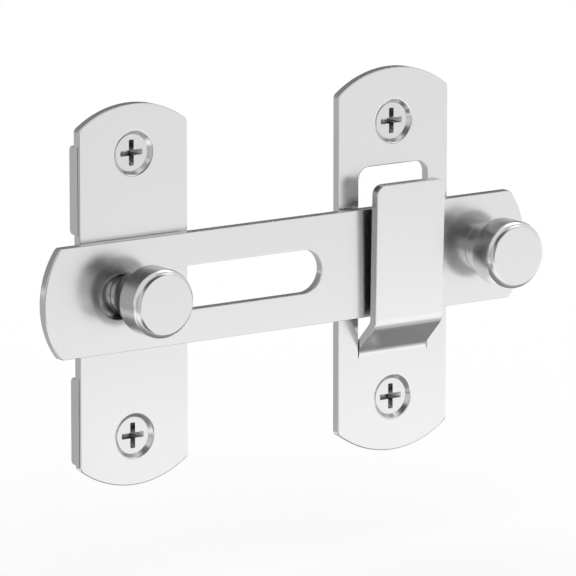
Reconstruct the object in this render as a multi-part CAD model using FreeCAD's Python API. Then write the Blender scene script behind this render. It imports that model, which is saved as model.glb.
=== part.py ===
import FreeCAD, Part
import math
import os

# Barn door flip latch in satin stainless steel.
#
# A slotted bar turns and slides on the pivot of a base plate. Its free end
# drops into a hook that is lanced out of a catch plate and folded upwards.
# Sizes are in millimetres. X runs from the base plate to the catch plate,
# Z is up, and Y runs into the wall. The origin is the centre of the four
# wall screws, in the plane of the wall.

Vector = FreeCAD.Vector

# How close two computed places are when they are the same
NEAR = 1e-4

# Sheet metal
SHEET = 2.0
EDGE_BREAK = 0.2
CORNER_ROUND = 1.0

# Screw pattern that both plates share
PLATE_SPACING = 61.9
SCREW_PITCH = 56.2

# Base plate, held off the wall by its side tabs
BASE_WIDTH = 25.0
BASE_END_MARGIN = 9.8
BASE_END_RISE = 4.25
STAND_OFF = 1.6
TAB_LENGTH = 17.5
TAB_INSIDE_SCREW = 5.2
TAB_DROP = 1.2
TAB_BEND_RADIUS = 0.5
TAB_CORNER_RADIUS = 1.0

# Catch plate, on a face that stands in front of the base's, and the hook out of its window
CATCH_STAND = 1.3
CATCH_WIDTH = 26.5
CATCH_END_MARGIN = 10.9
CATCH_END_RISE = 4.7
WINDOW_TOP_BELOW_SCREW = 8.7
WINDOW_CORNER_RADIUS = 2.5
HOOK_WIDTH = 16.5
LANCE_SLIT = 0.25
HOOK_SLOPE_DEG = 45.0
HOOK_LEAN_DEG = 1.3
HOOK_BEND_RADIUS = 1.2
HOOK_RISE_OVER_BAR = 5.1
HOOK_CORNER_RADIUS = 2.0
HOOK_GAP = 1.1
HOOK_SEAT_CLEARANCE = 1.4

# Latch bar
BAR_HEIGHT = 22.0
BAR_END_RISE = 3.75
BAR_STUB = 20.6
BAR_END_PAST_HANDLE = 9.9
BAR_BACK_GAP = 0.4
HANDLE_TO_HOOK = 12.55
RETRACT_CLEARANCE = 0.9
SLOT_PLAY = 3.35

# Pivot
PIVOT_BESIDE_CENTRE = 1.45
PIVOT_RISE = 0.6
BUSH_RADIUS = 4.3
SLOT_CLEARANCE = 0.1
SHOULDER_RADIUS = 3.0
RUNNING_CLEARANCE = 0.05
KNOB_GAP = 0.1
WASHER_RADIUS = 7.0
WASHER_THICKNESS = 0.3
RIVET_SHANK_RADIUS = 2.5
RIVET_HEAD_RADIUS = 3.8
RIVET_HEAD_HEIGHT = 1.2

# Knobs
KNOB_NECK_RADIUS = 4.95
KNOB_NECK_LENGTH = 5.0
KNOB_HEAD_RADIUS = 6.85
KNOB_HEAD_LENGTH = 6.25
KNOB_BEVEL_ACROSS = 1.1
KNOB_BEVEL_DEEP = 1.25
KNOB_EDGE_BREAK = 0.15
KNOB_THREAD_RADIUS = 2.0
KNOB_THREAD_DEPTH = 7.0
THREAD_CLEARANCE = 0.02
THREAD_END_CLEARANCE = 0.5

# Handle screw, flush in the back of the bar
HANDLE_SCREW_HEAD_RADIUS = 3.6

# Wall screws
RIM_RADIUS = 4.5
HEAD_RADIUS = 3.73
HEAD_SEAT_CLEARANCE = 0.03
SHANK_RADIUS = 2.1
SCREW_LENGTH = 19.0
SCREW_TIP_LENGTH = 4.0
RECESS_SPAN = 5.0
RECESS_FLOOR_SPAN = 2.2
RECESS_ARM = 1.1
RECESS_DEPTH = 1.7

# Planes across the thickness of the latch, from the wall outwards
BASE_BACK_Y = -STAND_OFF
BASE_FRONT_Y = BASE_BACK_Y - SHEET
BAR_BACK_Y = BASE_FRONT_Y - BAR_BACK_GAP
BAR_FRONT_Y = BAR_BACK_Y - SHEET
CATCH_BACK_Y = -CATCH_STAND
CATCH_FRONT_Y = CATCH_BACK_Y - SHEET
PIVOT_NECK_Y = BAR_FRONT_Y - KNOB_GAP

# Places along the latch
BASE_X = -PLATE_SPACING / 2
CATCH_X = PLATE_SPACING / 2
PIVOT_X = BASE_X - PIVOT_BESIDE_CENTRE
HOOK_LEFT_X = CATCH_X - HOOK_WIDTH / 2
HOOK_RIGHT_X = CATCH_X + HOOK_WIDTH / 2
HANDLE_X = HOOK_RIGHT_X + HANDLE_TO_HOOK
BAR_LEFT_X = PIVOT_X - BAR_STUB
BAR_RIGHT_X = HANDLE_X + BAR_END_PAST_HANDLE

# Heights
SCREW_Z = SCREW_PITCH / 2
BAR_BOTTOM_Z = PIVOT_RISE - BAR_HEIGHT / 2
BAR_TOP_Z = PIVOT_RISE + BAR_HEIGHT / 2
HOOK_TOP_Z = BAR_TOP_Z + HOOK_RISE_OVER_BAR
WINDOW_TOP_Z = SCREW_Z - WINDOW_TOP_BELOW_SCREW
SLOT_RADIUS = BUSH_RADIUS + SLOT_CLEARANCE
SLOT_TRAVEL = BAR_RIGHT_X - HOOK_LEFT_X + RETRACT_CLEARANCE


def extrude(points, direction):
    """Prism over a closed polygon."""
    outline = Part.makePolygon(list(points) + [points[0]])
    return Part.Face(outline).extrude(direction)


def edges_along(shape, direction):
    """Straight edges that run along a direction."""
    found = []
    for edge in shape.Edges:
        if not isinstance(edge.Curve, Part.Line):
            continue
        start = edge.Vertexes[0].Point
        end = edge.Vertexes[-1].Point
        run = (end - start).normalize()
        if abs(run.dot(direction)) > 0.9999:
            found.append(edge)
    return found


def edges_across(shape):
    """Straight edges through the sheet, from its front to its back."""
    return edges_along(shape, Vector(0, 1, 0))


def edges_in_plane(shape, y):
    """Edges that lie in one plane parallel to the wall."""
    found = []
    for edge in shape.Edges:
        box = edge.BoundBox
        if abs(box.YMin - y) < NEAR and abs(box.YMax - y) < NEAR:
            found.append(edge)
    return found


def arc_ended_sheet(length, width, end_rise, front_y):
    """Sheet centred on the origin, long along Z, with a shallow arc at each end.

    Its corners are rounded and its front edges are broken.
    """
    half = width / 2
    side = length / 2 - end_rise
    tip = length / 2
    back_y = front_y + SHEET
    right = Part.LineSegment(Vector(half, back_y, -side), Vector(half, back_y, side))
    top = Part.Arc(Vector(half, back_y, side), Vector(0, back_y, tip), Vector(-half, back_y, side))
    left = Part.LineSegment(Vector(-half, back_y, side), Vector(-half, back_y, -side))
    low = Part.Arc(Vector(-half, back_y, -side), Vector(0, back_y, -tip), Vector(half, back_y, -side))
    outline = Part.Wire([curve.toShape() for curve in (right, top, left, low)])
    sheet = Part.Face(outline).extrude(Vector(0, front_y - back_y, 0))
    sheet = sheet.makeFillet(CORNER_ROUND, edges_across(sheet))
    return sheet.makeChamfer(EDGE_BREAK, edges_in_plane(sheet, front_y))


def turned(profile):
    """Solid turned about the Y axis from (radius, y) corners."""
    points = [Vector(radius, y, 0) for radius, y in profile]
    outline = Part.makePolygon(points + [points[0]])
    return Part.Face(outline).revolve(Vector(0, 0, 0), Vector(0, 1, 0), 360)


def drill(x, z, radius, front_y, back_y):
    """Round cutter along Y."""
    return Part.makeCylinder(radius, back_y - front_y, Vector(x, front_y, z), Vector(0, 1, 0))


def countersink(x, z, front_y):
    """Right-angled conical cutter that narrows through the whole sheet."""
    return Part.makeCone(RIM_RADIUS, RIM_RADIUS - SHEET, SHEET, Vector(x, front_y, z), Vector(0, 1, 0))


def folded_tab(side, centre_z):
    """Tab bent back from one long edge of the base plate, down to the wall.

    side is 1 on the right edge and -1 on the left edge.
    """
    edge = BASE_WIDTH / 2
    low = centre_z - TAB_LENGTH / 2
    root = edge - 2 * SHEET
    bend = TAB_BEND_RADIUS
    corner = bend * (1 - math.sqrt(0.5))
    start = Vector(side * root, BASE_FRONT_Y, low)
    bend_in = Vector(side * (edge - bend), BASE_FRONT_Y, low)
    bend_mid = Vector(side * (edge - corner), BASE_FRONT_Y + corner, low)
    bend_out = Vector(side * edge, BASE_FRONT_Y + bend, low)
    foot_out = Vector(side * edge, 0, low)
    foot_in = Vector(side * (edge - SHEET), 0, low)
    inner = Vector(side * (edge - SHEET), BASE_BACK_Y, low)
    end = Vector(side * root, BASE_BACK_Y, low)
    outline = Part.Wire([
        Part.makeLine(start, bend_in),
        Part.Arc(bend_in, bend_mid, bend_out).toShape(),
        Part.makeLine(bend_out, foot_out),
        Part.makeLine(foot_out, foot_in),
        Part.makeLine(foot_in, inner),
        Part.makeLine(inner, end),
        Part.makeLine(end, start),
    ])
    tab = Part.Face(outline).extrude(Vector(0, 0, TAB_LENGTH))
    foot = [edge for edge in edges_along(tab, Vector(1, 0, 0)) if abs(edge.BoundBox.YMin) < NEAR]
    return tab.makeFillet(TAB_CORNER_RADIUS, foot)


def base_plate():
    """Plate on four tabs, with two countersunk holes and the pivot's rivet hole."""
    length = SCREW_PITCH + 2 * BASE_END_MARGIN
    plate = arc_ended_sheet(length, BASE_WIDTH, BASE_END_RISE, BASE_FRONT_Y)
    tab_z = SCREW_Z - TAB_INSIDE_SCREW
    for side in (-1, 1):
        for centre_z in (-tab_z - TAB_DROP, tab_z - TAB_DROP):
            notch_x = BASE_WIDTH / 2 - SHEET if side > 0 else -BASE_WIDTH / 2
            corner = Vector(notch_x, BASE_FRONT_Y, centre_z - TAB_LENGTH / 2)
            plate = plate.cut(Part.makeBox(SHEET, SHEET, TAB_LENGTH, corner))
            plate = plate.fuse(folded_tab(side, centre_z))
    plate = plate.removeSplitter()
    plate.translate(Vector(BASE_X, 0, 0))
    for z in (-SCREW_Z, SCREW_Z):
        plate = plate.cut(countersink(BASE_X, z, BASE_FRONT_Y))
    rivet_hole = RIVET_SHANK_RADIUS + THREAD_CLEARANCE
    return plate.cut(drill(PIVOT_X, PIVOT_RISE, rivet_hole, BASE_FRONT_Y, BASE_BACK_Y))


def hook_corners():
    """Corners of the hook's folded profile in the YZ plane, front side first.

    The slope passes under the bar's lower front edge, and the tongue stands in front of it.
    """
    slope = math.radians(HOOK_SLOPE_DEG)
    lean = math.tan(math.radians(HOOK_LEAN_DEG))
    normal_y = math.cos(slope)
    normal_z = math.sin(slope)

    def slope_z(y, distance):
        return BAR_BOTTOM_Z - (distance + (y - BAR_FRONT_Y) * normal_y) / normal_z

    def elbow(back_shift):
        """Where the slope's and the tongue's faces meet, at one side of the sheet."""
        distance = HOOK_SEAT_CLEARANCE + SHEET - back_shift
        foot_y = BAR_FRONT_Y - HOOK_GAP - SHEET + back_shift
        rate = -normal_y / normal_z
        low_z = slope_z(foot_y, distance)
        rise = (low_z - BAR_BOTTOM_Z) / (1 + rate * lean)
        return Vector(0, foot_y - rise * lean, BAR_BOTTOM_Z + rise)

    front_root = Vector(0, CATCH_FRONT_Y, slope_z(CATCH_FRONT_Y, HOOK_SEAT_CLEARANCE + SHEET))
    back_root = Vector(0, CATCH_BACK_Y, slope_z(CATCH_BACK_Y, HOOK_SEAT_CLEARANCE))
    front_elbow = elbow(0)
    back_elbow = elbow(SHEET)
    top_shift = (HOOK_TOP_Z - BAR_BOTTOM_Z) * lean
    front_top = Vector(0, BAR_FRONT_Y - HOOK_GAP - SHEET - top_shift, HOOK_TOP_Z)
    back_top = Vector(0, BAR_FRONT_Y - HOOK_GAP - top_shift, HOOK_TOP_Z)
    return front_root, front_elbow, front_top, back_top, back_elbow, back_root


def tongue_rim(strip, above_z):
    """Edges round the front of the tongue, above a height."""
    front_y = BAR_FRONT_Y - HOOK_GAP - SHEET
    rim = []
    for edge in strip.Edges:
        box = edge.BoundBox
        if box.YMax < front_y + NEAR and box.ZMin > above_z:
            rim.append(edge)
    return rim


def hook():
    """Strip folded out of the window: a slope forward, then a tongue upwards."""
    front_root, front_elbow, front_top, back_top, back_elbow, back_root = hook_corners()
    below = Vector(0, 0, -SHEET)
    back_foot = Vector(0, CATCH_BACK_Y, front_root.z) + below
    front_side = [front_root + below, front_root, front_elbow, front_top]
    back_side = [back_top, back_elbow, back_root, back_foot]
    strip = extrude(front_side + back_side, Vector(HOOK_WIDTH, 0, 0))

    def bends(corners):
        chosen = []
        for edge in edges_along(strip, Vector(1, 0, 0)):
            point = edge.Vertexes[0].Point
            if any(abs(point.y - c.y) < NEAR and abs(point.z - c.z) < NEAR for c in corners):
                chosen.append(edge)
        return chosen

    strip = strip.makeFillet(HOOK_BEND_RADIUS, bends([front_root, back_elbow]))
    strip = strip.makeFillet(HOOK_BEND_RADIUS + SHEET, bends([front_elbow, back_root]))
    top = [edge for edge in edges_across(strip) if edge.BoundBox.ZMin > HOOK_TOP_Z - SHEET]
    strip = strip.makeFillet(HOOK_CORNER_RADIUS, top)
    strip = strip.makeChamfer(EDGE_BREAK, tongue_rim(strip, front_elbow.z + SHEET))
    strip.translate(Vector(HOOK_LEFT_X, 0, 0))
    return strip


def catch_plate():
    """Plate with a window, and the hook that was cut from it."""
    length = SCREW_PITCH + 2 * CATCH_END_MARGIN
    plate = arc_ended_sheet(length, CATCH_WIDTH, CATCH_END_RISE, CATCH_FRONT_Y)
    plate.translate(Vector(CATCH_X, 0, 0))
    root_z = hook_corners()[0].z
    window_width = HOOK_WIDTH + 2 * LANCE_SLIT
    corner = Vector(CATCH_X - window_width / 2, CATCH_FRONT_Y, root_z)
    window = Part.makeBox(window_width, SHEET, WINDOW_TOP_Z - root_z, corner)
    upper = [edge for edge in edges_across(window) if edge.BoundBox.ZMin > WINDOW_TOP_Z - NEAR]
    plate = plate.cut(window.makeFillet(WINDOW_CORNER_RADIUS, upper))
    for z in (-SCREW_Z, SCREW_Z):
        plate = plate.cut(countersink(CATCH_X, z, CATCH_FRONT_Y))
    return plate.fuse(hook()).removeSplitter()


def slot_cutter():
    """Round-ended cutter for the bar's slot."""
    left_x = PIVOT_X - SLOT_PLAY
    right_x = PIVOT_X + SLOT_TRAVEL
    corner = Vector(left_x, BAR_FRONT_Y, PIVOT_RISE - SLOT_RADIUS)
    cutter = Part.makeBox(right_x - left_x, SHEET, 2 * SLOT_RADIUS, corner)
    for x in (left_x, right_x):
        cutter = cutter.fuse(drill(x, PIVOT_RISE, SLOT_RADIUS, BAR_FRONT_Y, BAR_BACK_Y))
    return cutter.removeSplitter()


def latch_bar():
    """Flat bar with arc ends, the long slot and the handle's countersunk hole."""
    length = BAR_RIGHT_X - BAR_LEFT_X
    bar = arc_ended_sheet(length, BAR_HEIGHT, BAR_END_RISE, BAR_FRONT_Y)
    bar.rotate(Vector(0, 0, 0), Vector(0, 1, 0), 90)
    bar.translate(Vector((BAR_LEFT_X + BAR_RIGHT_X) / 2, 0, PIVOT_RISE))
    bar = bar.cut(slot_cutter())
    hole_radius = KNOB_THREAD_RADIUS + THREAD_CLEARANCE
    bar = bar.cut(drill(HANDLE_X, PIVOT_RISE, hole_radius, BAR_FRONT_Y, BAR_BACK_Y))
    return bar.cut(handle_head(THREAD_CLEARANCE))


def handle_head(growth):
    """Conical head of the handle screw, flush in the bar's back, grown by a clearance."""
    wide = HANDLE_SCREW_HEAD_RADIUS + growth
    narrow = KNOB_THREAD_RADIUS + growth
    height = wide - narrow
    return Part.makeCone(wide, narrow, height, Vector(HANDLE_X, BAR_BACK_Y, PIVOT_RISE), Vector(0, -1, 0))


def handle_screw():
    """Countersunk machine screw from behind the bar into the handle knob."""
    tip_y = BAR_FRONT_Y - KNOB_THREAD_DEPTH + THREAD_END_CLEARANCE
    shank = drill(HANDLE_X, PIVOT_RISE, KNOB_THREAD_RADIUS, tip_y, BAR_BACK_Y)
    screw = shank.fuse(handle_head(0)).removeSplitter()
    recess = cross_recess(-1)
    recess.translate(Vector(HANDLE_X, BAR_BACK_Y, PIVOT_RISE))
    return screw.cut(recess)


def knob(x, back_y):
    """Turned knob with a neck, a wider head, a bevelled face and a blind threaded hole."""
    head_y = back_y - KNOB_NECK_LENGTH
    face_y = head_y - KNOB_HEAD_LENGTH
    hole_radius = KNOB_THREAD_RADIUS + THREAD_CLEARANCE
    hole_y = back_y - KNOB_THREAD_DEPTH
    body = turned([
        (0, hole_y),
        (hole_radius, hole_y),
        (hole_radius, back_y),
        (KNOB_NECK_RADIUS, back_y),
        (KNOB_NECK_RADIUS, head_y),
        (KNOB_HEAD_RADIUS - KNOB_EDGE_BREAK, head_y),
        (KNOB_HEAD_RADIUS, head_y - KNOB_EDGE_BREAK),
        (KNOB_HEAD_RADIUS, face_y + KNOB_BEVEL_DEEP),
        (KNOB_HEAD_RADIUS - KNOB_BEVEL_ACROSS, face_y),
        (0, face_y),
    ])
    body.translate(Vector(x, 0, PIVOT_RISE))
    return body


def pivot_stud():
    """Shouldered stud: a rivet head behind the base plate, a shoulder and a threaded end."""
    head_y = BASE_BACK_Y + RIVET_HEAD_HEIGHT
    end_y = PIVOT_NECK_Y - KNOB_THREAD_DEPTH + THREAD_END_CLEARANCE
    stud = turned([
        (0, head_y),
        (RIVET_HEAD_RADIUS - RIVET_HEAD_HEIGHT / 2, head_y),
        (RIVET_HEAD_RADIUS, head_y - RIVET_HEAD_HEIGHT / 2),
        (RIVET_HEAD_RADIUS, BASE_BACK_Y),
        (RIVET_SHANK_RADIUS, BASE_BACK_Y),
        (RIVET_SHANK_RADIUS, BASE_FRONT_Y),
        (SHOULDER_RADIUS, BASE_FRONT_Y),
        (SHOULDER_RADIUS, PIVOT_NECK_Y),
        (KNOB_THREAD_RADIUS, PIVOT_NECK_Y),
        (KNOB_THREAD_RADIUS, end_y),
        (0, end_y),
    ])
    stud.translate(Vector(PIVOT_X, 0, PIVOT_RISE))
    return stud


def ring(outer, inner, front_y, back_y):
    """Flat ring on the pivot's axis."""
    return drill(PIVOT_X, PIVOT_RISE, outer, front_y, back_y).cut(
        drill(PIVOT_X, PIVOT_RISE, inner, front_y, back_y))


def pivot_bush():
    """Sleeve that turns on the stud's shoulder and slides in the bar's slot."""
    front_y = PIVOT_NECK_Y + RUNNING_CLEARANCE
    back_y = BASE_FRONT_Y - RUNNING_CLEARANCE
    return ring(BUSH_RADIUS, SHOULDER_RADIUS + RUNNING_CLEARANCE, front_y, back_y)


def pivot_washer():
    """Thin washer on the base plate, round the bush, that keeps the bar off the plate."""
    front_y = BASE_FRONT_Y - WASHER_THICKNESS
    return ring(WASHER_RADIUS, BUSH_RADIUS + RUNNING_CLEARANCE, front_y, BASE_FRONT_Y)


def cross_recess(into):
    """Cross-shaped cutter whose arms taper inwards; into is 1 towards +Y, -1 towards -Y."""
    half = RECESS_SPAN / 2
    floor = RECESS_FLOOR_SPAN / 2
    depth = into * RECESS_DEPTH
    points = [Vector(-half, 0, 0), Vector(half, 0, 0), Vector(floor, depth, 0), Vector(-floor, depth, 0)]
    arm = extrude(points, Vector(0, 0, RECESS_ARM))
    arm.translate(Vector(0, 0, -RECESS_ARM / 2))
    upright = arm.copy()
    upright.rotate(Vector(0, 0, 0), Vector(0, 1, 0), 90)
    return arm.fuse(upright)


def wall_screw(x, z, plate_front_y):
    """Countersunk wood screw, seated in a plate's countersink."""
    sunk = RIM_RADIUS - HEAD_RADIUS - HEAD_SEAT_CLEARANCE
    taper = HEAD_RADIUS - SHANK_RADIUS
    screw = turned([
        (0, 0),
        (HEAD_RADIUS, 0),
        (SHANK_RADIUS, taper),
        (SHANK_RADIUS, SCREW_LENGTH - SCREW_TIP_LENGTH),
        (0, SCREW_LENGTH),
    ])
    screw = screw.cut(cross_recess(1))
    screw.translate(Vector(x, plate_front_y + sunk, z))
    return screw


def build():
    """Every piece of the latch by its name."""
    return {
        "base_plate": base_plate(),
        "base_screw_upper": wall_screw(BASE_X, SCREW_Z, BASE_FRONT_Y),
        "base_screw_lower": wall_screw(BASE_X, -SCREW_Z, BASE_FRONT_Y),
        "catch_plate": catch_plate(),
        "catch_screw_upper": wall_screw(CATCH_X, SCREW_Z, CATCH_FRONT_Y),
        "catch_screw_lower": wall_screw(CATCH_X, -SCREW_Z, CATCH_FRONT_Y),
        "latch_bar": latch_bar(),
        "pivot_stud": pivot_stud(),
        "pivot_washer": pivot_washer(),
        "pivot_bush": pivot_bush(),
        "pivot_knob": knob(PIVOT_X, PIVOT_NECK_Y),
        "handle_knob": knob(HANDLE_X, BAR_FRONT_Y),
        "handle_screw": handle_screw(),
    }


os.makedirs("parts", exist_ok=True)
for name, piece in build().items():
    print(name, piece.ShapeType, len(piece.Solids), round(piece.Volume, 2), piece.isValid())
    piece.exportStep(os.path.join("parts", name + ".step"))
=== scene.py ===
"""Barn door flip latch in satin stainless steel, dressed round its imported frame.

A slotted bar turns and slides on the pivot of a base plate, and its free end drops into a
hook that is folded out of a catch plate. Lengths are in metres. X runs from the base plate
to the catch plate, Z is up and Y runs into the wall, as in the frame.
"""

from __future__ import annotations

import logging
import math
from collections.abc import Callable, Iterator
from contextlib import contextmanager
from dataclasses import dataclass, field
from enum import Enum

import bmesh
import bpy
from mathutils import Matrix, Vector

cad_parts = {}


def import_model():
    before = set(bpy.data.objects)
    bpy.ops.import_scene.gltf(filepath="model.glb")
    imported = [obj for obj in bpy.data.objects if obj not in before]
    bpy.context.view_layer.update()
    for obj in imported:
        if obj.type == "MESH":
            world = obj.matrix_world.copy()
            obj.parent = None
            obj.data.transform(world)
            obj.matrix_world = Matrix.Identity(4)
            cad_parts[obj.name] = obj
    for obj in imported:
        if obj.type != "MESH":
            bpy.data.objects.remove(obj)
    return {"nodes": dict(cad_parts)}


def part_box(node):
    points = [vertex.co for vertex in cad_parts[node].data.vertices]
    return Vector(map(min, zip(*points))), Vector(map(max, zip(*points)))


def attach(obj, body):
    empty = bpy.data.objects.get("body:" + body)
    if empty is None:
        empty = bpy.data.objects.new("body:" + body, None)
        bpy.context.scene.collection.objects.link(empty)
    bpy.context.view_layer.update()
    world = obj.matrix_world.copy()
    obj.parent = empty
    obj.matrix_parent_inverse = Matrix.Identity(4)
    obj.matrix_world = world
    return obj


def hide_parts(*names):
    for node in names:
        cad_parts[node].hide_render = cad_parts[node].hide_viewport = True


log = logging.getLogger("latch")

MM = 0.001
# Two places this near each other count as one
NEAR = 0.02 * MM
# Vertices this near each other are merged
MERGE = 0.0005 * MM
# How far a cutter reaches past the faces that it opens
OVERCUT = 0.5 * MM
X_AXIS = Vector((1, 0, 0))
Y_AXIS = Vector((0, 1, 0))
Z_AXIS = Vector((0, 0, 1))
# Two unit vectors are parallel, and a face looks along one, from these cosines on
PARALLEL = 0.9999
FACING = 0.9
# Sides of a whole round, and of a small broken edge
ROUND_STEPS = 96
BREAK_STEPS = 3
# Faces within the first angle are one flat face, and edges under the second are shaded round.
# Over the others they are corners to break.
FLAT_ANGLE = math.radians(0.1)
ROUND_ANGLE = math.radians(6.5)
SHEET_CORNER = math.radians(40)
TURNED_CORNER = math.radians(60)
# Nearly all of a noise texture lies between these values
NOISE_LOW, NOISE_HIGH = 0.3, 0.7

Piece = bpy.types.Object
Edge = bmesh.types.BMEdge
Element = Edge | bmesh.types.BMFace
Tree = bpy.types.NodeTree
Node = bpy.types.Node
Socket = bpy.types.NodeSocket


class Kind(Enum):
    """What a selection in edit mode holds."""

    EDGES = "EDGE"
    FACES = "FACE"


def activate(piece: Piece) -> None:
    """Makes one piece the only selected one, and the active one.

    Args:
        piece: The piece.
    """
    bpy.ops.object.select_all(action="DESELECT")
    piece.select_set(True)
    bpy.context.view_layer.objects.active = piece


def added(name: str, primitive: Callable[..., set[str]], **settings: object) -> Piece:
    """Adds a primitive, names it and moves its place into its mesh.

    Args:
        name: The piece's name.
        primitive: The operator that adds it.
        **settings: The operator's settings.

    Returns:
        The piece, with its object at the origin.
    """
    bpy.ops.object.select_all(action="DESELECT")
    primitive(**settings)
    piece = bpy.context.active_object
    piece.name = name
    piece.data.name = name
    activate(piece)
    bpy.ops.object.transform_apply(location=True, rotation=True, scale=True)
    return piece


def disc(name: str, radius: float, centre: Vector, steps: int = ROUND_STEPS) -> Piece:
    """Adds a filled circle square to the Y axis.

    Args:
        name: The piece's name.
        radius: The circle's radius.
        centre: The circle's centre.
        steps: How many sides stand for the round.

    Returns:
        The disc.
    """
    return added(name, bpy.ops.mesh.primitive_circle_add, vertices=steps, radius=radius,
                 fill_type="NGON", location=centre, rotation=(math.pi / 2, 0, 0))


def block(name: str, low: Vector, high: Vector) -> Piece:
    """Adds a box between two corners.

    Args:
        name: The piece's name.
        low: The lowest corner.
        high: The highest corner.

    Returns:
        The box.
    """
    return added(name, bpy.ops.mesh.primitive_cube_add,
                 size=1, location=(low + high) / 2, scale=high - low)


@contextmanager
def editing(piece: Piece) -> Iterator[None]:
    """Holds one piece in edit mode, and recalculates its normals at the end.

    Args:
        piece: The piece to shape.

    Yields:
        Nothing, once the piece is in edit mode.
    """
    activate(piece)
    bpy.ops.object.mode_set(mode="EDIT")
    yield
    bpy.ops.mesh.select_all(action="SELECT")
    bpy.ops.mesh.remove_doubles(threshold=MERGE)
    bpy.ops.mesh.normals_make_consistent(inside=False)
    bpy.ops.object.mode_set(mode="OBJECT")


def pick(kind: Kind, test: Callable[[Element], bool]) -> None:
    """Selects in edit mode exactly the elements that pass a test.

    Args:
        kind: Whether edges or faces are selected.
        test: Says whether an element is wanted.

    Raises:
        ValueError: If nothing passes the test.
    """
    bpy.ops.mesh.select_mode(type=kind.value)
    bpy.ops.mesh.select_all(action="DESELECT")
    mesh = bpy.context.edit_object.data
    shape = bmesh.from_edit_mesh(mesh)
    shape.normal_update()
    elements = shape.edges if kind is Kind.EDGES else shape.faces
    chosen = [element for element in elements if test(element)]
    if not chosen:
        raise ValueError(f"{mesh.name}: no {kind.name.lower()} pass the test")
    for element in chosen:
        element.select_set(True)
    bmesh.update_edit_mesh(mesh)


def middle(edge: Edge) -> Vector:
    """Middle of an edge."""
    return (edge.verts[0].co + edge.verts[1].co) / 2


def runs_along(edge: Edge, axis: Vector) -> bool:
    """Whether an edge is parallel to an axis."""
    run = edge.verts[1].co - edge.verts[0].co
    return run.length > NEAR and abs(run.normalized().dot(axis)) > PARALLEL


def lies_at_y(edge: Edge, y: float) -> bool:
    """Whether an edge lies in the plane at a depth."""
    return all(abs(vertex.co.y - y) < NEAR for vertex in edge.verts)


def is_sharp(edge: Edge, least: float) -> bool:
    """Whether an edge is an outer corner of at least an angle."""
    return len(edge.link_faces) == 2 and edge.is_convex and edge.calc_face_angle() > least


def extrude(shift: Vector) -> None:
    """Extrudes the selected faces by a shift."""
    bpy.ops.mesh.extrude_region_move(TRANSFORM_OT_translate={"value": shift})


def widen(factor: float, centre: Vector) -> None:
    """Resizes what is selected about an axis along Y."""
    bpy.ops.transform.resize(value=(factor, 1, factor), center_override=centre)


def bevel(offset: float, segments: int = BREAK_STEPS) -> None:
    """Rounds the selected edges."""
    bpy.ops.mesh.bevel(offset=offset, segments=segments, affect="EDGES", clamp_overlap=False)


def slice_at(point: Vector, normal: Vector, keep: bool = True) -> None:
    """Bisects the whole edited mesh by a plane.

    Args:
        point: A point of the plane.
        normal: The plane's normal.
        keep: Whether what lies past the plane stays.
    """
    bpy.ops.mesh.select_all(action="SELECT")
    bpy.ops.mesh.bisect(plane_co=point, plane_no=normal, clear_outer=not keep, threshold=MERGE)


def apply_modifier(piece: Piece, kind: str, **settings: object) -> None:
    """Adds a modifier with its settings and applies it.

    Args:
        piece: The piece that it changes.
        kind: The modifier's type.
        **settings: Its properties by name.
    """
    activate(piece)
    modifier = piece.modifiers.new(kind.title(), kind)
    for key, value in settings.items():
        setattr(modifier, key, value)
    bpy.ops.object.modifier_apply(modifier=modifier.name)


def combine(piece: Piece, other: Piece, operation: str = "DIFFERENCE") -> None:
    """Cuts a piece by another solid, or joins or limits it to that solid, which is used up.

    Args:
        piece: The piece that stays.
        other: The solid that cuts, joins or limits it.
        operation: The Boolean operation's name.
    """
    apply_modifier(piece, "BOOLEAN", object=other, operation=operation, solver="EXACT")
    bpy.data.objects.remove(other, do_unlink=True)


def smooth(piece: Piece, angle: float = ROUND_ANGLE) -> None:
    """Shades round faces smooth and keeps flat faces flat.

    Args:
        piece: The piece to shade.
        angle: Edges over this angle stay sharp.
    """
    activate(piece)
    bpy.ops.object.shade_smooth_by_angle(angle=angle)


def placed(piece: Piece, place: Vector, turn: float = 0.0) -> None:
    """Turns a piece about the Y axis, moves it, and keeps its place in its mesh.

    Args:
        piece: The piece to place.
        place: The shift.
        turn: The turn about the Y axis.
    """
    activate(piece)
    piece.rotation_euler = (0, turn, 0)
    piece.location = place
    bpy.ops.object.transform_apply(location=True, rotation=True, scale=False)


def copied(piece: Piece, name: str, shift: Vector) -> Piece:
    """Copies a piece, with a mesh of its own, to another place.

    Args:
        piece: The piece to copy.
        name: The copy's name.
        shift: From the piece to its copy.

    Returns:
        The copy.
    """
    activate(piece)
    bpy.ops.object.duplicate(linked=False)
    copy = bpy.context.active_object
    copy.name = name
    copy.data.name = name
    placed(copy, shift)
    return copy


def turned(name: str, stations: list[tuple[float, float]], x: float, z: float,
           steps: int = ROUND_STEPS) -> Piece:
    """Turns a solid on an axis along Y, as on a lathe, from a disc that is extruded and resized.

    Args:
        name: The piece's name.
        stations: Radius and depth of each step, from one end to the other.
        x: The axis's place along X.
        z: The axis's height.
        steps: How many sides stand for the round.

    Returns:
        The turned piece. A last radius of nought closes it in a point.
    """
    (radius, y), *others = stations
    piece = disc(name, radius, Vector((x, y, z)), steps)
    with editing(piece):
        bpy.ops.mesh.select_all(action="SELECT")
        for next_radius, next_y in others:
            extrude(Vector((0, next_y - y, 0)))
            if next_radius > 0:
                widen(next_radius / radius, Vector((x, next_y, z)))
            else:
                bpy.ops.mesh.merge(type="CENTER")
            radius, y = next_radius, next_y
    return piece


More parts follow.
